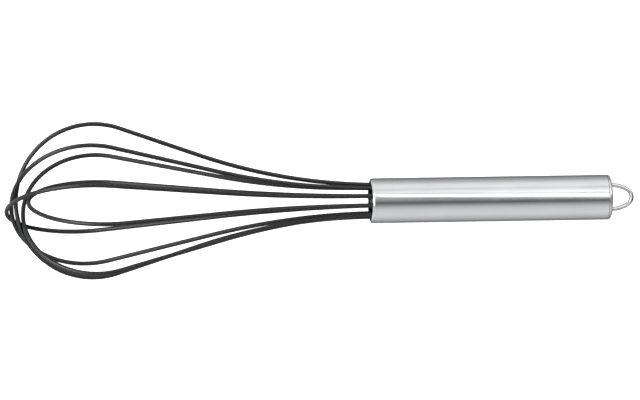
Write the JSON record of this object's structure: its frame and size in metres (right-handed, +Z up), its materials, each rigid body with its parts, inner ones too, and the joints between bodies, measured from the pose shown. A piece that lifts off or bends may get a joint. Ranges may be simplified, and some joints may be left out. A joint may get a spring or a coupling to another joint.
{
  "type": "balloon whisk",
  "caption": "Balloon whisk: coated wire loops crossing at the tip and held in a brushed steel tube handle, for beating batter, eggs and cream.",
  "frame": {"origin": "middle of the whisk's footprint, on the flat surface that it lies on", "axes": "+X from the loops' tip towards the hanging loop, +Y across the whisk, +Z up from the surface; the whisk lies on the cap's rim and two of its loops, with its tip raised by about 5.5 degrees"},
  "size_m": [0.2962, 0.0738, 0.0706],
  "materials": {
    "tube_steel": "fine lengthwise brushing, satin",
    "cap_steel": "turned face, satin",
    "bright_wire": "bright drawn stainless wire",
    "coating": "satin dark grey silicone",
    "spring_steel": "drawn spring wire",
    "holder_plastic": "matt moulded plastic",
    "resin": "cast epoxy"
  },
  "bodies": {
    "root": {"loop_1_core": "spring_steel", "loop_2_core": "spring_steel", "loop_3_core": "spring_steel", "loop_4_core": "spring_steel", "loop_5_core": "spring_steel", "loop_1_sleeve": "coating", "loop_2_sleeve": "coating", "loop_3_sleeve": "coating", "loop_4_sleeve": "coating", "loop_5_sleeve": "coating", "wire_holder": "holder_plastic", "resin_fill": "resin", "handle_tube": "tube_steel", "end_cap": "cap_steel", "hanging_loop": "bright_wire"}
  },
  "joints": []
}
